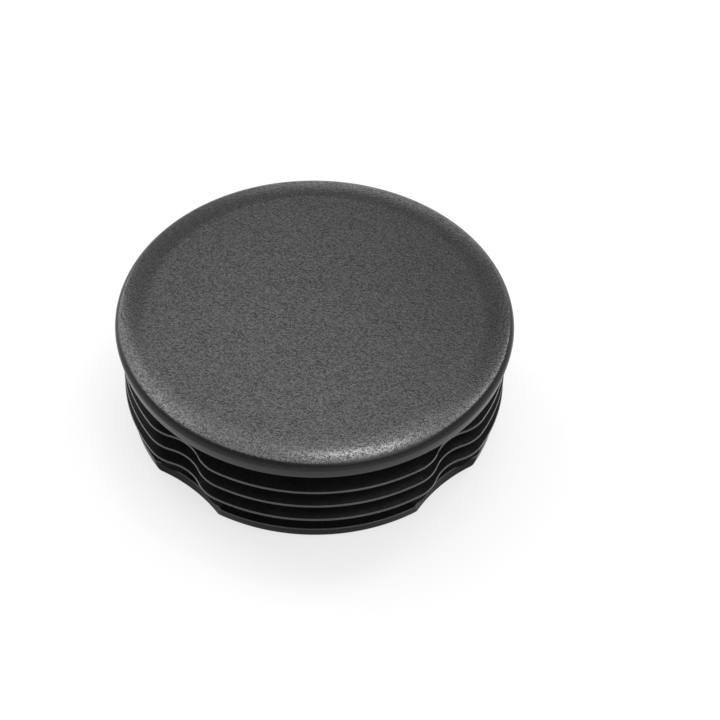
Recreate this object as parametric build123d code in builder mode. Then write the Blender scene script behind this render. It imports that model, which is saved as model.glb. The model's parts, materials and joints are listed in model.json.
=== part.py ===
"""Ribbed end cap for a round tube, moulded in one piece in soft black plastic.

The cap stands on the mouth of its plug, with the head on top. The origin is the centre of
the mouth, and +Z runs up along the plug to the head. All sizes are in millimetres.
"""

from build123d import *
import math
import os

# Head: a round disc with a flat face and a soft shoulder, wider than the tube's bore
head_radius = 38.0
head_thickness = 4.1
shoulder_width = 6.2
shoulder_drop = 1.95
shoulder_rim_radius = 1.4
head_side_draft = 0.4
face_thickness = 3.2

# Skirt: the hollow wall of the plug, with shallow flutes down its whole depth
plug_depth = 19.3
skirt_radius = 34.0
skirt_wall = 2.0
flute_count = 4
flute_depth = 2.3
flute_floor_radius = 11.4
flute_entry_radius = 5.05

# Ribs: springy rings that follow the flutes and grip the bore of the tube
rib_count = 3
rib_pitch = 3.85
first_rib_drop = 5.35
rib_reach = 2.7
rib_root_thickness = 3.1
rib_tip_thickness = 0.5

# End ring: a lower ring round the mouth, with flatter flutes of its own
end_ring_height = 2.45
end_ring_radius = 35.8
end_ring_flute_depth = 2.4
end_ring_floor_radius = 32.0
end_ring_entry_radius = 1.0
end_ring_shelf_reach = 1.2
end_ring_shelf_rise = 0.8

# Lead-in: the end ring's lobes narrow towards the mouth, to start the cap in its tube
lead_in_taper = 0.45
lead_in_edge_chamfer = 0.35

# Gate: the small round mark left inside, under the face, where the plastic came in
gate_radius = 1.2
gate_height = 0.4

# Places worked out from the sizes above
seat_height = plug_depth
total_height = plug_depth + head_thickness
cavity_depth = total_height - face_thickness
shoulder_start = head_radius - shoulder_width
shoulder_foot = total_height - shoulder_drop
rib_radius = skirt_radius + rib_reach
rib_heights = [seat_height - first_rib_drop - index * rib_pitch for index in range(rib_count)]
wall_middle = skirt_radius - skirt_wall / 2
lead_in_radius = end_ring_radius - lead_in_taper
flute_step = 360 / flute_count

# The shoulder is a wide crown arc that runs smoothly into a small rim arc
crown_span = shoulder_width**2 + shoulder_drop**2 - 2 * shoulder_width * shoulder_rim_radius
crown_radius = crown_span / (2 * (shoulder_drop - shoulder_rim_radius))
crown_angle = math.degrees(
    math.asin((shoulder_width - shoulder_rim_radius) / (crown_radius - shoulder_rim_radius))
)
crown_centre = (shoulder_start, total_height - crown_radius)
rim_centre = (head_radius - shoulder_rim_radius, shoulder_foot)


def polar(distance, angle):
    """Give the point at a distance from the plug's axis, at an angle from +X in degrees."""
    return (distance * math.cos(math.radians(angle)), distance * math.sin(math.radians(angle)))


def fluted_outline(radius, depth, floor_radius, entry_radius):
    """Draw a closed outline round the plug: lobes, and flutes with a floor and two entries."""
    entry_centre = radius - entry_radius
    floor_centre = radius - depth + floor_radius
    gap = entry_radius + floor_radius
    cosine = (entry_centre**2 + floor_centre**2 - gap**2) / (2 * entry_centre * floor_centre)
    half_angle = math.degrees(math.acos(cosine))
    floor_angle = math.degrees(math.asin(entry_centre * math.sin(math.radians(half_angle)) / gap))
    half_lobe = flute_step / 2 - half_angle
    turn = half_angle + floor_angle
    for index in range(flute_count):
        middle = (index + 0.5) * flute_step
        first_entry = polar(entry_centre, middle - half_angle)
        last_entry = polar(entry_centre, middle + half_angle)
        floor_start = middle + 180 + floor_angle
        CenterArc((0, 0), radius, index * flute_step, half_lobe)
        CenterArc(first_entry, entry_radius, middle - half_angle, turn)
        CenterArc(polar(floor_centre, middle), floor_radius, floor_start, -2 * floor_angle)
        CenterArc(last_entry, entry_radius, middle - floor_angle, turn)
        CenterArc((0, 0), radius, middle + half_angle, half_lobe)


def skirt_outline(offset=0.0):
    """Draw the outline of the skirt's outside, moved outwards by an offset."""
    floor_radius = flute_floor_radius - offset
    entry_radius = flute_entry_radius + offset
    fluted_outline(skirt_radius + offset, flute_depth, floor_radius, entry_radius)


def grip_corners():
    """Give the corners of the section of ribs and grooves, from the mouth up."""
    inside = (wall_middle + skirt_radius - skirt_wall) / 2
    shelf_edge = skirt_radius + end_ring_shelf_reach
    corners = [
        (inside, end_ring_height / 2),
        (shelf_edge, end_ring_height / 2),
        (shelf_edge, end_ring_height),
        (skirt_radius, end_ring_height + end_ring_shelf_rise),
    ]
    for height in reversed(rib_heights):
        corners.append((skirt_radius, height - rib_root_thickness / 2))
        corners.append((rib_radius, height - rib_tip_thickness / 2))
        corners.append((rib_radius, height + rib_tip_thickness / 2))
        corners.append((skirt_radius, height + rib_root_thickness / 2))
    corners.append((skirt_radius, seat_height + face_thickness / 4))
    corners.append((inside, seat_height + face_thickness / 4))
    return corners


def lead_in_corners():
    """Give the corners of the waste turned off outside the lead-in."""
    outside = end_ring_radius + 4 * lead_in_taper
    below = -4 * lead_in_taper
    inside = lead_in_radius - 4 * lead_in_edge_chamfer
    return [
        (inside, 0),
        (inside, below),
        (outside, below),
        (outside, end_ring_height),
        (end_ring_radius, end_ring_height),
        (lead_in_radius, 0),
    ]


# The path that the ribs follow round the plug, starting from the +X side
with BuildLine() as grip_path:
    skirt_outline()

with BuildSketch(Plane.XZ) as grip_section:
    with BuildLine():
        Polyline(grip_corners(), close=True)
    make_face()

with BuildPart() as end_cap:
    # Core of the plug, up into the head
    with BuildSketch():
        with BuildLine():
            skirt_outline(wall_middle - skirt_radius)
        make_face()
    extrude(amount=seat_height + face_thickness / 2)

    # Ribs and grooves, swept round the flutes
    sweep(sections=grip_section.sketch, path=grip_path.wires()[0])

    # End ring round the mouth
    with BuildSketch():
        with BuildLine():
            fluted_outline(
                end_ring_radius,
                end_ring_flute_depth,
                end_ring_floor_radius,
                end_ring_entry_radius,
            )
        make_face()
    extrude(amount=end_ring_height)

    # Lead-in, turned on the end ring's lobes
    with BuildSketch(Plane.XZ) as lead_in_waste:
        with BuildLine():
            Polyline(lead_in_corners(), close=True)
        make_face()
        mouth_corner = lead_in_waste.vertices().sort_by_distance((lead_in_radius, 0))[0]
        chamfer(mouth_corner, length=lead_in_edge_chamfer)
    revolve(axis=Axis.Z, mode=Mode.SUBTRACT)

    # Head
    with BuildSketch(Plane.XZ):
        with BuildLine():
            Line((0, seat_height), (0, total_height))
            Line((0, total_height), (shoulder_start, total_height))
            CenterArc(crown_centre, crown_radius, 90, -crown_angle)
            CenterArc(rim_centre, shoulder_rim_radius, 90 - crown_angle, crown_angle - 90)
            Line((head_radius, shoulder_foot), (head_radius - head_side_draft, seat_height))
            Line((head_radius - head_side_draft, seat_height), (0, seat_height))
        make_face()
    revolve(axis=Axis.Z)

    # Hollow of the plug, which follows the flutes and leaves the face and an even wall
    with BuildSketch():
        with BuildLine():
            skirt_outline(-skirt_wall)
        make_face()
    extrude(amount=cavity_depth, mode=Mode.SUBTRACT)

    # Gate mark in the middle of the hollow's roof
    with Locations((0, 0, cavity_depth)):
        Cylinder(gate_radius, gate_height, align=(Align.CENTER, Align.CENTER, Align.MAX))

end_cap.part.label = "end_cap"

os.makedirs("parts", exist_ok=True)
export_step(end_cap.part, "parts/end_cap.step")
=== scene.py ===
"""Looks of a ribbed tube end cap: a grained head over a smooth, fluted plug, in a plain studio."""

import json
import logging
import math
from dataclasses import dataclass
from enum import Enum

import bmesh
import bpy
from mathutils import Matrix, Vector


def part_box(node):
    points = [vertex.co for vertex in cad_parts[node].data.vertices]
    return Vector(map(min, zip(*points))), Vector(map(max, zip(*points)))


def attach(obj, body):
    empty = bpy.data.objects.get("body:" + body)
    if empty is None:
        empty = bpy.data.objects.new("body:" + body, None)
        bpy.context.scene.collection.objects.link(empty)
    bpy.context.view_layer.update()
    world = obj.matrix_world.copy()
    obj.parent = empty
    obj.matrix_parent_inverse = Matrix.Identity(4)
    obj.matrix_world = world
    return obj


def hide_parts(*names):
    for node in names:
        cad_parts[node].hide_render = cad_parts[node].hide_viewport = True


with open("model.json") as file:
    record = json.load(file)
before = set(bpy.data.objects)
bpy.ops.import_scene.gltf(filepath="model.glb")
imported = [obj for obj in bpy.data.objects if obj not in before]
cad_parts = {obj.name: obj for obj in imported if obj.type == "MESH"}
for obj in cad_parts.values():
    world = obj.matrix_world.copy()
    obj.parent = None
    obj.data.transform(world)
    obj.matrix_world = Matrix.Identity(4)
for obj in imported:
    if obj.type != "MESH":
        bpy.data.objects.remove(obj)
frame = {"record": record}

MM = 0.001
LOG = logging.getLogger("end_cap")
FACE_THICKNESS = 3.2 * MM
GRAIN_LAYER = "grain"

Point = tuple[float, float]


class Finish(Enum):
    """The finishes of the moulding, in the order of its material slots."""

    SMOOTH = 0
    GRAINED = 1
    # This finish is a lighter black painted on the rib tips and the end ring's top edge as a
    # highlight
    PAINTED_HIGHLIGHT = 2


# ---------------------------------------------------------------------- outlines and sections


@dataclass(frozen=True)
class RoundOutline:
    """A circle round the axis."""

    radius: float = 0.0

    def moved(self, offset: float) -> "RoundOutline":
        """Give the circle moved outwards by an offset."""
        return RoundOutline(self.radius + offset)

    def reach(self, angle: float) -> float:
        """Give how far out the circle lies in any direction."""
        return self.radius


@dataclass(frozen=True)
class FlutedOutline:
    """A closed outline round the axis: round lobes, and flutes with a floor and two entries."""

    radius: float
    depth: float
    floor_radius: float
    entry_radius: float
    flutes: int = 4

    def moved(self, offset: float) -> "FlutedOutline":
        """Give the outline moved outwards, with the same flutes.

        Args:
            offset: How far outwards, negative for inwards.

        Returns:
            The parallel outline.
        """
        return FlutedOutline(
            self.radius + offset,
            self.depth,
            self.floor_radius - offset,
            self.entry_radius + offset,
            self.flutes,
        )

    def reach(self, angle: float) -> float:
        """Give how far out the outline lies in one direction.

        Args:
            angle: Direction from the axis, from +X.

        Returns:
            The distance from the axis.
        """
        entry = self.radius - self.entry_radius
        floor = self.radius - self.depth + self.floor_radius
        gap = self.entry_radius + self.floor_radius
        half = math.acos((entry**2 + floor**2 - gap**2) / (2 * entry * floor))
        step = 2 * math.pi / self.flutes
        turn = abs(angle % step - step / 2)
        if turn >= half:
            return self.radius
        share = self.floor_radius / gap
        joint_x = entry * math.cos(half) * share + floor * (1 - share)
        joint_y = entry * math.sin(half) * share
        if turn < math.atan2(joint_y, joint_x):
            root = self.floor_radius**2 - (floor * math.sin(turn)) ** 2
            return floor * math.cos(turn) - math.sqrt(root)
        root = self.entry_radius**2 - (entry * math.sin(half - turn)) ** 2
        return entry * math.cos(half - turn) + math.sqrt(root)


@dataclass(frozen=True)
class Corner:
    """One corner of a section: its place and the radius that rounds it."""

    out: float
    up: float
    radius: float = 0.0


@dataclass(frozen=True)
class Row:
    """One ring of points of the moulding: an outline, moved outwards, at one height."""

    outline: RoundOutline | FlutedOutline
    offset: float
    height: float
    limit: float = math.inf
    finish: Finish = Finish.SMOOTH
    grain: float = 0.0


def rounded(corners: list[Corner], steps: int, guard: float) -> list[Point]:
    """Round the corners of an open section.

    Args:
        corners: The section's corners in order. Its two ends stay sharp.
        steps: How many spans each rounding has.
        guard: How far from a rounding the flat on each side gets a point of its own.

    Returns:
        The section's points, out from its outline and up.
    """
    points = [(corners[0].out, corners[0].up)]
    for before, corner, after in zip(corners, corners[1:], corners[2:]):
        here = Vector((corner.out, corner.up))
        back = (Vector((before.out, before.up)) - here).normalized()
        ahead = (Vector((after.out, after.up)) - here).normalized()
        half = back.angle(ahead) / 2
        reach = corner.radius / math.tan(half)
        centre = here + (back + ahead).normalized() * (corner.radius / math.sin(half))
        first = here + back * reach - centre
        sweep = first.angle_signed(here + ahead * reach - centre)
        points.append(tuple(here + back * (reach + guard)))
        for step in range(steps + 1):
            spoke = Matrix.Rotation(-sweep * step / steps, 2) @ first
            points.append(tuple(centre + spoke))
        points.append(tuple(here + ahead * (reach + guard)))
    points.append((corners[-1].out, corners[-1].up))
    return points


# ---------------------------------------------------------------------- the moulding


@dataclass
class Head:
    """The head: a round disc with a flat grained face and a soft shoulder."""

    radius: float
    seat: float
    top: float
    shoulder_width: float = 6.2 * MM
    shoulder_drop: float = 1.95 * MM
    rim_radius: float = 1.4 * MM
    side_draft: float = 0.4 * MM
    lower_edge_radius: float = 0.3 * MM
    crown_steps: int = 14
    rim_steps: int = 12
    face_rings: tuple[float, ...] = (0.97, 0.8, 0.55, 0.3, 0.1)
    grain_fade: tuple[float, float] = (math.radians(12.0), math.radians(30.0))

    def shoulder(self) -> list[Point]:
        """Give the rim arc and the crown arc, which meet smoothly.

        Returns:
            The points out from the axis and up, from the side to the edge of the flat face.
        """
        foot = self.top - self.shoulder_drop
        start = self.radius - self.shoulder_width
        span = self.shoulder_width**2 + self.shoulder_drop**2
        span -= 2 * self.shoulder_width * self.rim_radius
        crown = span / (2 * (self.shoulder_drop - self.rim_radius))
        meet = math.asin((self.shoulder_width - self.rim_radius) / (crown - self.rim_radius))
        rim_centre = self.radius - self.rim_radius
        points = []
        for step in range(1, self.rim_steps + 1):
            turn = (math.pi / 2 - meet) * step / self.rim_steps
            out = rim_centre + self.rim_radius * math.cos(turn)
            points.append((out, foot + self.rim_radius * math.sin(turn)))
        for step in range(1, self.crown_steps + 1):
            turn = meet * (1 - step / self.crown_steps)
            up = self.top - crown * (1 - math.cos(turn))
            points.append((start + crown * math.sin(turn), up))
        return points

    def rows(self, inside: float, steps: int, guard: float) -> list[Row]:
        """Give the head's rows, from the plug out under the head and over it to the middle.

        Args:
            inside: Radius at which the seat starts.
            steps: How many spans each rounding has.
            guard: How far from a rounding the flat on each side gets a point of its own.

        Returns:
            The rows in order.
        """
        foot = self.top - self.shoulder_drop
        start = self.radius - self.shoulder_width
        under = [
            Corner(inside, self.seat),
            Corner(self.radius - self.side_draft, self.seat, self.lower_edge_radius),
            Corner(self.radius, foot),
        ]
        points = rounded(under, steps, guard) + self.shoulder()
        points.append((start - guard, self.top))
        points += [(start * share, self.top) for share in self.face_rings]
        # The grain is full above the first tilt of the rim arc and gone below the second
        low, high = (foot + self.rim_radius * math.cos(tilt) for tilt in reversed(self.grain_fade))
        rows = []
        for out, up in points:
            finish = Finish.GRAINED if up > self.seat else Finish.SMOOTH
            grain = min(max((up - low) / (high - low), 0.0), 1.0)
            rows.append(Row(RoundOutline(), out, up, finish=finish, grain=grain))
        return rows


@dataclass
class Plug:
    """The plug: a hollow fluted skirt with springy ribs and a low ring round its mouth."""

    seat: float
    rib_radius: float
    hollow_depth: float
    skirt: FlutedOutline = FlutedOutline(34.0 * MM, 2.3 * MM, 11.4 * MM, 5.05 * MM)
    wall: float = 2.0 * MM
    outer_root_radius: float = 0.4 * MM
    hollow_root_radius: float = 0.8 * MM
    mouth_edge_radius: float = 0.2 * MM
    rib_count: int = 3
    rib_pitch: float = 3.85 * MM
    first_rib_drop: float = 5.35 * MM
    rib_root_thickness: float = 3.1 * MM
    rib_tip_thickness: float = 0.5 * MM
    rib_tip_radius: float = 0.12 * MM
    # How far in from the rib tips the painted highlight reaches
    painted_highlight_width: float = 0.06 * MM
    groove_root_radius: float = 0.3 * MM
    ring: FlutedOutline = FlutedOutline(35.8 * MM, 2.4 * MM, 32.0 * MM, 1.0 * MM)
    ring_height: float = 2.45 * MM
    ring_edge_radius: float = 0.2 * MM
    shelf_reach: float = 1.2 * MM
    shelf_rise: float = 0.8 * MM
    lead_in_taper: float = 0.45 * MM
    lead_in_edge_radius: float = 0.5 * MM
    gate_radius: float = 1.2 * MM
    gate_height: float = 0.4 * MM
    gate_edge_radius: float = 0.12 * MM

    def hollow_rows(self, steps: int, guard: float) -> list[Row]:
        """Give the rows of the gate mark, the hollow's roof and its wall, down to the mouth.

        Args:
            steps: How many spans each rounding has.
            guard: How far from a rounding the flat on each side gets a point of its own.

        Returns:
            The rows in order.
        """
        # The first and last corners of each section only lie on the flats beside the roundings
        roof = self.hollow_depth
        gate = [
            Corner(self.gate_radius / 4, roof - self.gate_height),
            Corner(self.gate_radius, roof - self.gate_height, self.gate_edge_radius),
            Corner(self.gate_radius, roof, self.gate_edge_radius),
            Corner(self.gate_radius * 2, roof),
        ]
        wall = [
            Corner(-self.wall - 3 * self.hollow_root_radius, roof),
            Corner(-self.wall, roof, self.hollow_root_radius),
            Corner(-self.wall, 0, self.mouth_edge_radius),
            Corner(-self.wall / 2, 0),
        ]
        rows = [Row(RoundOutline(), out, up) for out, up in rounded(gate, steps, guard)]
        return rows + [Row(self.skirt, out, up) for out, up in rounded(wall, steps, guard)]

    def lead_in_limit(self, height: float) -> float:
        """Give how far out the turned lead-in lets the end ring reach.

        Args:
            height: Height above the mouth.

        Returns:
            The distance from the axis.
        """
        edge = self.lead_in_edge_radius
        limit = self.ring.radius - self.lead_in_taper * (1 - height / self.ring_height)
        if height < edge:
            limit -= edge - math.sqrt(edge**2 - (edge - height) ** 2)
        return limit

    def ring_rows(self, steps: int, guard: float) -> list[Row]:
        """Give the rows of the end ring, from the mouth to its shelf.

        Args:
            steps: How many spans each rounding has.
            guard: How far from a rounding the flat on each side gets a point of its own.

        Returns:
            The rows in order.
        """
        edge = self.ring_edge_radius
        section = [
            Corner(-2 * edge, 0),
            Corner(0, 0, edge),
            Corner(0, self.ring_height, edge),
            Corner(-2 * edge, self.ring_height),
        ]
        points = rounded(section, steps, guard)
        foot = edge + guard
        span = self.lead_in_edge_radius - edge
        lead_in = [(0.0, foot + span * step / steps) for step in range(1, steps + 1)]
        middle = len(points) // 2
        points = points[:middle] + lead_in + points[middle:]
        rows = []
        for out, up in points:
            # The ring's top edge gets the lighter black of the painted highlight
            on_top_edge = out > -edge and up > self.ring_height - edge
            finish = Finish.PAINTED_HIGHLIGHT if on_top_edge else Finish.SMOOTH
            rows.append(Row(self.ring, out, up, self.lead_in_limit(up), finish))
        return rows

    def grip_rows(self, steps: int, guard: float) -> list[Row]:
        """Give the rows of the shelf, the grooves and the ribs, up to the head's seat.

        Args:
            steps: How many spans each rounding has.
            guard: How far from a rounding the flat on each side gets a point of its own.

        Returns:
            The rows in order.
        """
        root = self.groove_root_radius
        tip = self.rib_tip_radius
        reach = self.rib_radius - self.skirt.radius
        section = [
            Corner(self.shelf_reach, self.ring_height),
            Corner(0, self.ring_height + self.shelf_rise, root),
        ]
        for index in reversed(range(self.rib_count)):
            height = self.seat - self.first_rib_drop - index * self.rib_pitch
            section += [
                Corner(0, height - self.rib_root_thickness / 2, root),
                Corner(reach, height - self.rib_tip_thickness / 2, tip),
                Corner(reach, height + self.rib_tip_thickness / 2, tip),
                Corner(0, height + self.rib_root_thickness / 2, root),
            ]
        section.append(Corner(0, self.seat, self.outer_root_radius))
        section.append(Corner(2 * self.outer_root_radius, self.seat))
        rows = []
        for out, up in rounded(section, steps, guard):
            # The rib tips get the lighter black of the painted highlight
            finish = Finish.PAINTED_HIGHLIGHT if out > reach - self.painted_highlight_width else Finish.SMOOTH
            rows.append(Row(self.skirt, out, up, finish=finish))
        return rows

    def rows(self, steps: int, guard: float) -> list[Row]:
        """Give all the plug's rows, from the gate mark round the mouth to the head's seat."""
        inside = self.hollow_rows(steps, guard)
        return inside + self.ring_rows(steps, guard) + self.grip_rows(steps, guard)


@dataclass
class Moulding:
    """The whole cap as one closed skin: a grid of rows and columns round its axis."""

    plug: Plug
    head: Head
    steps: int = 4
    guard: float = 0.02 * MM
    lobe_columns: int = 40
    flute_columns: int = 90
    flute_span: float = math.radians(36.0)
    weld: float = 0.001 * MM

    def columns(self) -> list[float]:
        """Place the columns, closer together across the flutes.

        Returns:
            The columns' directions from the axis, in order.
        """
        flutes = self.plug.skirt.flutes
        step = 2 * math.pi / flutes
        lobe_span = step - self.flute_span
        angles = []
        for index in range(flutes):
            start = index * step - lobe_span / 2
            angles += [start + lobe_span * k / self.lobe_columns for k in range(self.lobe_columns)]
            start += lobe_span
            angles += [
                start + self.flute_span * k / self.flute_columns for k in range(self.flute_columns)
            ]
        return angles

    def build(self, name: str) -> bpy.types.Object:
        """Build the skin.

        Args:
            name: Name of the new piece.

        Returns:
            The piece, smooth shaded, with each face's finish as its material slot.
        """
        rows = self.plug.rows(self.steps, self.guard)
        rows += self.head.rows(self.plug.rib_radius, self.steps, self.guard)
        angles = self.columns()
        mesh = bmesh.new()
        grain = mesh.verts.layers.float.new(GRAIN_LAYER)
        rings = []
        for row in rows:
            outline = row.outline.moved(row.offset)
            reaches = [min(outline.reach(angle), row.limit) for angle in angles]
            ring = [
                mesh.verts.new((r * math.cos(a), r * math.sin(a), row.height))
                for r, a in zip(reaches, angles)
            ]
            for point in ring:
                point[grain] = row.grain
            rings.append(ring)
        count = len(angles)
        for row, ring, following in zip(rows, rings, rings[1:]):
            for k in range(count):
                after = (k + 1) % count
                quad = mesh.faces.new((ring[k], ring[after], following[after], following[k]))
                quad.material_index = row.finish.value
        for row, ring in ((rows[0], rings[0]), (rows[-1], rings[-1])):
            pole = mesh.verts.new((0, 0, row.height))
            pole[grain] = row.grain
            for k in range(count):
                fan = mesh.faces.new((pole, ring[k], ring[(k + 1) % count]))
                fan.material_index = row.finish.value
        bmesh.ops.remove_doubles(mesh, verts=mesh.verts, dist=self.weld)
        bmesh.ops.recalc_face_normals(mesh, faces=mesh.faces)
        for face in mesh.faces:
            face.smooth = True
        data = bpy.data.meshes.new(name)
        mesh.to_mesh(data)
        mesh.free()
        piece = bpy.data.objects.new(name, data)
        bpy.context.scene.collection.objects.link(piece)
        return piece


# ---------------------------------------------------------------------- finishes


# Where a Mix node of each kind has its two inputs and its result
MIX_SOCKETS = {"FLOAT": (2, 3, 0), "RGBA": (6, 7, 2)}


class Sockets:
    """Short ways to add and link nodes in one node tree."""

    def __init__(self, tree: bpy.types.NodeTree) -> None:
        """Take the node tree to work in."""
        self.tree = tree

    def give(self, socket: bpy.types.NodeSocket, value: object) -> None:
        """Give one input its value or link.

        Args:
            socket: The input.
            value: A value or an output socket.
        """
        if isinstance(value, bpy.types.NodeSocket):
            self.tree.links.new(value, socket)
        else:
            socket.default_value = value

    def add(self, kind: str, **settings: object) -> bpy.types.Node:
        """Add a node.

        Args:
            kind: Blender's name of the node's type.
            settings: Properties of the node to set.

        Returns:
            The new node.
        """
        node = self.tree.nodes.new(kind)
        for name, value in settings.items():
            setattr(node, name, value)
        return node

    def feed(self, node: bpy.types.Node, **values: object) -> bpy.types.Node:
        """Give a node's inputs their values or links.

        Args:
            node: The node.
            values: A value or an output socket for each input, with _ for a space in its name.

        Returns:
            The same node.
        """
        for name, value in values.items():
            self.give(node.inputs[name.replace("_", " ")], value)
        return node

    def math(self, operation: str, *values: object) -> bpy.types.NodeSocket:
        """Add a Math node.

        Args:
            operation: Its operation.
            values: A number or an output socket for each input.

        Returns:
            The result's socket.
        """
        node = self.add("ShaderNodeMath", operation=operation)
        for socket, value in zip(node.inputs, values):
            self.give(socket, value)
        return node.outputs[0]

    def mix(self, kind: str, share: object, first: object, second: object) -> bpy.types.NodeSocket:
        """Add a Mix node.

        Args:
            kind: Its data type, FLOAT or RGBA.
            share: How much of the second input is mixed in.
            first: A value or an output socket.
            second: A value or an output socket.

        Returns:
            The result's socket.
        """
        node = self.feed(self.add("ShaderNodeMix", data_type=kind), Factor=share)
        first_place, second_place, result_place = MIX_SOCKETS[kind]
        self.give(node.inputs[first_place], first)
        self.give(node.inputs[second_place], second)
        return node.outputs[result_place]


def new_group(
    name: str, inputs: dict[str, float], outputs: dict[str, str]
) -> tuple[bpy.types.NodeTree, bpy.types.Node, bpy.types.Node]:
    """Make an empty shader node group.

    Args:
        name: Its name.
        inputs: Its number inputs and their usual values.
        outputs: Its outputs and their socket types.

    Returns:
        The group, its inputs' node and its outputs' node.
    """
    group = bpy.data.node_groups.new(name, "ShaderNodeTree")
    for label, value in inputs.items():
        socket = group.interface.new_socket(label, in_out="INPUT", socket_type="NodeSocketFloat")
        socket.default_value = value
    for label, kind in outputs.items():
        group.interface.new_socket(label, in_out="OUTPUT", socket_type=kind)
    return group, group.nodes.new("NodeGroupInput"), group.nodes.new("NodeGroupOutput")


def grain_group() -> bpy.types.NodeTree:
    """Make the group for the fine sandy grain that an etched mould leaves.

    Returns:
        A group that gives the grain's height and a mask of its polished high spots.
    """
    group, given, result = new_group(
        "moulded_grain",
        {"Relief Scale": 2200.0, "Spot Scale": 3400.0, "Pit Share": 1.0},
        {"Height": "NodeSocketFloat", "Spots": "NodeSocketFloat"},
    )
    nodes = Sockets(group)
    place = nodes.add("ShaderNodeTexCoord").outputs["Object"]
    noise = nodes.add("ShaderNodeTexNoise")
    relief_scale = given.outputs["Relief Scale"]
    nodes.feed(noise, Vector=place, Scale=relief_scale, Detail=2.0, Roughness=0.55)
    pits = nodes.add("ShaderNodeTexVoronoi", feature="SMOOTH_F1")
    nodes.feed(pits, Vector=place, Scale=relief_scale, Smoothness=0.6)
    waves, dimples = noise.outputs["Fac"], pits.outputs["Distance"]
    height = nodes.mix("FLOAT", given.outputs["Pit Share"], waves, dimples)
    grains = nodes.add("ShaderNodeTexVoronoi", feature="F1")
    nodes.feed(grains, Vector=place, Scale=given.outputs["Spot Scale"])
    parts = nodes.feed(nodes.add("ShaderNodeSeparateColor"), Color=grains.outputs["Color"])
    nodes.feed(result, Height=height, Spots=parts.outputs["Red"])
    return group


def tone_group() -> bpy.types.NodeTree:
    """Make the group for the slow changes of tone and gloss over a moulded part.

    Returns:
        A group that gives a mask from 0 to 1 that changes slowly over the surface.
    """
    group, given, result = new_group("moulded_tone", {"Scale": 60.0}, {"Tone": "NodeSocketFloat"})
    nodes = Sockets(group)
    place = nodes.add("ShaderNodeTexCoord").outputs["Object"]
    noise = nodes.add("ShaderNodeTexNoise")
    nodes.feed(noise, Vector=place, Scale=given.outputs["Scale"], Detail=4.0, Roughness=0.6)
    spread = nodes.add("ShaderNodeMapRange")
    nodes.feed(spread, Value=noise.outputs["Fac"], From_Min=0.3, From_Max=0.7)
    nodes.feed(result, Tone=spread.outputs["Result"])
    return group


# The gloss of the grain's polished high spots, and how much bluer than grey the black is
COAT_ROUGHNESS = 0.17
BLUE_TINT = 1.03


@dataclass(frozen=True)
class PlasticFinish:
    """One finish of the black plastic."""

    name: str
    dark: float
    light: float
    specular_level: float
    gloss_roughness: float
    dull_roughness: float
    relief_scale: float
    relief_depth: float
    pit_share: float
    tone_scale: float
    spot_scale: float
    spot_share: float
    grained: bool

    def material(self, groups: dict[str, bpy.types.NodeTree]) -> bpy.types.Material:
        """Make the material.

        Args:
            groups: The shared groups, by name.

        Returns:
            The new material.
        """
        material = bpy.data.materials.new(self.name)
        material.use_nodes = True
        tree = material.node_tree
        tree.nodes.clear()
        nodes = Sockets(tree)
        grain = nodes.add("ShaderNodeGroup", node_tree=groups["grain"])
        nodes.feed(
            grain,
            Relief_Scale=self.relief_scale,
            Spot_Scale=self.spot_scale,
            Pit_Share=self.pit_share,
        )
        tone = nodes.add("ShaderNodeGroup", node_tree=groups["tone"])
        nodes.feed(tone, Scale=self.tone_scale)
        spots, relief = grain.outputs["Spots"], grain.outputs["Height"]
        coat = 0.0
        if self.grained:
            grained = nodes.add("ShaderNodeAttribute", attribute_name=GRAIN_LAYER).outputs["Fac"]
            relief = nodes.math("MULTIPLY", relief, grained)
            coat = nodes.math("MULTIPLY", spots, grained)
        share = nodes.math(
            "ADD",
            nodes.math("MULTIPLY", spots, self.spot_share),
            nodes.math("MULTIPLY", tone.outputs["Tone"], 1 - self.spot_share),
        )
        dark, light = ((grey, grey, grey * BLUE_TINT, 1.0) for grey in (self.dark, self.light))
        colour = nodes.mix("RGBA", share, dark, light)
        rough = nodes.add("ShaderNodeMapRange")
        nodes.feed(rough, Value=share, To_Min=self.dull_roughness, To_Max=self.gloss_roughness)
        bump = nodes.add("ShaderNodeBump")
        nodes.feed(bump, Height=relief, Strength=1.0, Distance=self.relief_depth)
        plastic = nodes.add("ShaderNodeBsdfPrincipled")
        nodes.feed(
            plastic,
            Base_Color=colour,
            Roughness=rough.outputs["Result"],
            IOR=1.5,
            Specular_IOR_Level=self.specular_level,
            Coat_Weight=coat,
            Coat_Roughness=COAT_ROUGHNESS,
            Normal=bump.outputs["Normal"],
        )
        nodes.feed(nodes.add("ShaderNodeOutputMaterial"), Surface=plastic.outputs["BSDF"])
        return material


SMOOTH_PLASTIC = PlasticFinish(
    name="smooth_black_plastic",
    dark=0.008,
    light=0.016,
    specular_level=0.05,
    gloss_roughness=0.2,
    dull_roughness=0.34,
    relief_scale=900.0,
    relief_depth=0.004 * MM,
    pit_share=0.0,
    tone_scale=150.0,
    spot_scale=1500.0,
    spot_share=0.6,
    grained=False,
)

GRAINED_PLASTIC = PlasticFinish(
    name="grained_black_plastic",
    dark=0.004,
    light=0.016,
    specular_level=0.3,
    gloss_roughness=0.28,
    dull_roughness=0.3,
    relief_scale=2400.0,
    relief_depth=0.05 * MM,
    pit_share=1.0,
    tone_scale=60.0,
    spot_scale=3800.0,
    spot_share=0.6,
    grained=True,
)

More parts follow.
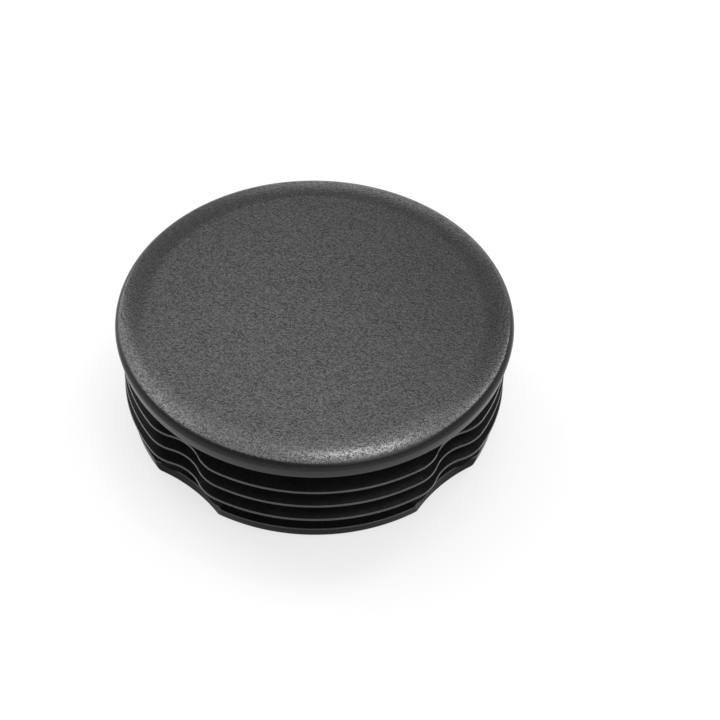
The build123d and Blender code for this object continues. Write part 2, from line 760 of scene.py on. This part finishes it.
# The lighter black here is a painted highlight for the rib tips and the ring's top edge; the
# higher gloss is the plastic's own
PAINTED_HIGHLIGHT_PLASTIC = PlasticFinish(
    name="painted_highlight_black_plastic",
    dark=0.05,
    light=0.09,
    specular_level=0.5,
    gloss_roughness=0.2,
    dull_roughness=0.3,
    relief_scale=900.0,
    relief_depth=0.004 * MM,
    pit_share=0.0,
    tone_scale=150.0,
    spot_scale=1500.0,
    spot_share=0.3,
    grained=False,
)


# ---------------------------------------------------------------------- studio

# An area lamp looks as bright as its energy over four times its area
LAMP_ENERGY = 4.0


def direction(azimuth: float, elevation: float) -> Vector:
    """Give a direction away from the cap.

    Args:
        azimuth: Angle round the cap in degrees, from the front towards +X.
        elevation: Angle above the floor in degrees.

    Returns:
        The direction, one long.
    """
    around, above = math.radians(azimuth), math.radians(elevation)
    level = math.cos(above)
    return Vector((math.sin(around) * level, -math.cos(around) * level, math.sin(above)))


@dataclass(frozen=True)
class Softbox:
    """A soft studio lamp that faces the cap."""

    name: str
    azimuth: float
    elevation: float
    distance: float
    width: float
    height: float
    brightness: float

    def place(self) -> None:
        """Hang the lamp, facing the cap."""
        lamp = bpy.data.lights.new(self.name, "AREA")
        lamp.shape = "RECTANGLE"
        lamp.size = self.width
        lamp.size_y = self.height
        lamp.energy = self.brightness * LAMP_ENERGY * self.width * self.height
        lamp_object = bpy.data.objects.new(self.name, lamp)
        away = direction(self.azimuth, self.elevation)
        lamp_object.location = away * self.distance
        lamp_object.rotation_euler = away.to_track_quat("Z", "Y").to_euler()
        bpy.context.scene.collection.objects.link(lamp_object)


@dataclass
class Studio:
    """A pale floor, soft lamps, plain surroundings and the camera."""

    floor_half: float = 3.0
    floor_colour: float = 0.25
    floor_lift: float = 0.72
    # Name, azimuth, elevation, distance, width, height and brightness
    lamps: tuple[Softbox, ...] = (
        Softbox("main_softbox", 163.9, 67.9, 2.8, 0.54, 0.28, 12.6),
        Softbox("overhead_panel", 120.0, 78.7, 2.8, 4.65, 1.7, 1.75),
        Softbox("left_panel", 222.5, 35.9, 2.8, 1.34, 2.83, 2.45),
        Softbox("right_panel", 134.7, 46.0, 2.8, 0.56, 1.43, 4.5),
        Softbox("low_rear_panel", 159.1, 15.0, 2.8, 2.36, 1.44, 0.75),
    )
    # How bright the surroundings are at each height, from level to straight up
    sky: tuple[tuple[float, float], ...] = (
        (0.0, 0.9),
        (0.25, 0.85),
        (0.45, 0.7),
        (0.6, 0.25),
        (0.75, 0.3),
        (0.9, 0.2),
    )
    # Camera: angles in degrees, distances in metres and the lens in millimetres
    target: tuple[float, float, float] = (0.0, 0.0, 0.0234)
    distance: float = 0.532
    elevation: float = 46.27
    azimuth: float = -1.74
    roll: float = 0.517
    lens: float = 139.93
    shift: tuple[float, float] = (0.0629, -0.065)
    nearest: float = 0.01

    def floor_paper(self) -> bpy.types.Material:
        """Make the floor's paper: plain grey under the lamps, and lifted to white for the eye.

        Returns:
            The new material.
        """
        material = bpy.data.materials.new("floor_paper")
        material.use_nodes = True
        tree = material.node_tree
        tree.nodes.clear()
        nodes = Sockets(tree)
        paper = nodes.feed(
            nodes.add("ShaderNodeBsdfDiffuse"), Color=(*[self.floor_colour] * 3, 1.0)
        )
        path = nodes.add("ShaderNodeLightPath")
        seen = nodes.math("ADD", path.outputs["Is Camera Ray"], path.outputs["Is Glossy Ray"])
        seen = nodes.math("ADD", seen, path.outputs["Is Transmission Ray"])
        strength = nodes.math("MULTIPLY", seen, self.floor_lift)
        lift = nodes.feed(nodes.add("ShaderNodeEmission"), Strength=strength)
        both = nodes.add("ShaderNodeAddShader")
        for shader, socket in zip((paper, lift), both.inputs):
            tree.links.new(shader.outputs[0], socket)
        nodes.feed(nodes.add("ShaderNodeOutputMaterial"), Surface=both.outputs["Shader"])
        return material

    def lay_floor(self) -> bpy.types.Object:
        """Lay the floor.

        Returns:
            The floor's object.
        """
        half = self.floor_half
        data = bpy.data.meshes.new("floor")
        corners = [(-half, -half, 0), (half, -half, 0), (half, half, 0), (-half, half, 0)]
        data.from_pydata(corners, [], [(0, 1, 2, 3)])
        data.materials.append(self.floor_paper())
        floor = bpy.data.objects.new("floor", data)
        bpy.context.scene.collection.objects.link(floor)
        return floor

    def light_surroundings(self) -> None:
        """Light the surroundings: pale near the floor and plain above."""
        world = bpy.data.worlds.new("surroundings")
        world.use_nodes = True
        tree = world.node_tree
        tree.nodes.clear()
        nodes = Sockets(tree)
        way = nodes.add("ShaderNodeTexCoord").outputs["Generated"]
        parts = nodes.feed(nodes.add("ShaderNodeSeparateXYZ"), Vector=way)
        ramp = nodes.feed(nodes.add("ShaderNodeValToRGB"), Fac=parts.outputs["Z"])
        bands = ramp.color_ramp.elements
        for height, _ in self.sky[len(bands) :]:
            bands.new(height)
        for band, (height, level) in zip(bands, self.sky):
            band.position = height
            band.color = (level, level, level, 1.0)
        light = nodes.feed(nodes.add("ShaderNodeBackground"), Color=ramp.outputs["Color"])
        nodes.feed(nodes.add("ShaderNodeOutputWorld"), Surface=light.outputs["Background"])
        bpy.context.scene.world = world

    def aim_camera(self) -> None:
        """Set up the camera."""
        data = bpy.data.cameras.new("camera")
        data.lens = self.lens
        data.shift_x, data.shift_y = self.shift
        data.clip_start = self.nearest
        camera = bpy.data.objects.new("camera", data)
        away = direction(self.azimuth, self.elevation)
        place = Matrix.Translation(Vector(self.target) + away * self.distance)
        turn = away.to_track_quat("Z", "Y").to_matrix().to_4x4()
        camera.matrix_world = place @ turn @ Matrix.Rotation(math.radians(self.roll), 4, "Z")
        bpy.context.scene.collection.objects.link(camera)
        bpy.context.scene.camera = camera

    def build(self) -> None:
        """Set up the whole studio."""
        bpy.context.scene.view_settings.view_transform = "Standard"
        self.light_surroundings()
        for lamp in self.lamps:
            lamp.place()
        self.lay_floor()
        self.aim_camera()


# ---------------------------------------------------------------------- the whole


def mount(name: str) -> dict:
    """Give one of the record's mounts."""
    return next(row for row in frame["record"]["mounts"] if row["name"] == name)


def main() -> None:
    """Build the cap and the studio."""
    logging.basicConfig(level=logging.INFO, format="%(message)s")
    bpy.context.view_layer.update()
    Studio().build()
    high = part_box("end_cap")[1]
    plug_sizes = mount("plug")["dims"]
    seat = plug_sizes["length_mm"] * MM
    rib_radius = plug_sizes["r_mm"] * MM
    plug = Plug(seat=seat, rib_radius=rib_radius, hollow_depth=high[2] - FACE_THICKNESS)
    head = Head(radius=high[0], seat=seat, top=high[2])
    piece = Moulding(plug, head).build("cap_skin")
    groups = {"grain": grain_group(), "tone": tone_group()}
    for finish in (SMOOTH_PLASTIC, GRAINED_PLASTIC, PAINTED_HIGHLIGHT_PLASTIC):
        piece.data.materials.append(finish.material(groups))
    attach(piece, "root")
    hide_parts("end_cap")
    LOG.info("%s: %d faces", piece.name, len(piece.data.polygons))


if __name__ == "__main__":
    main()
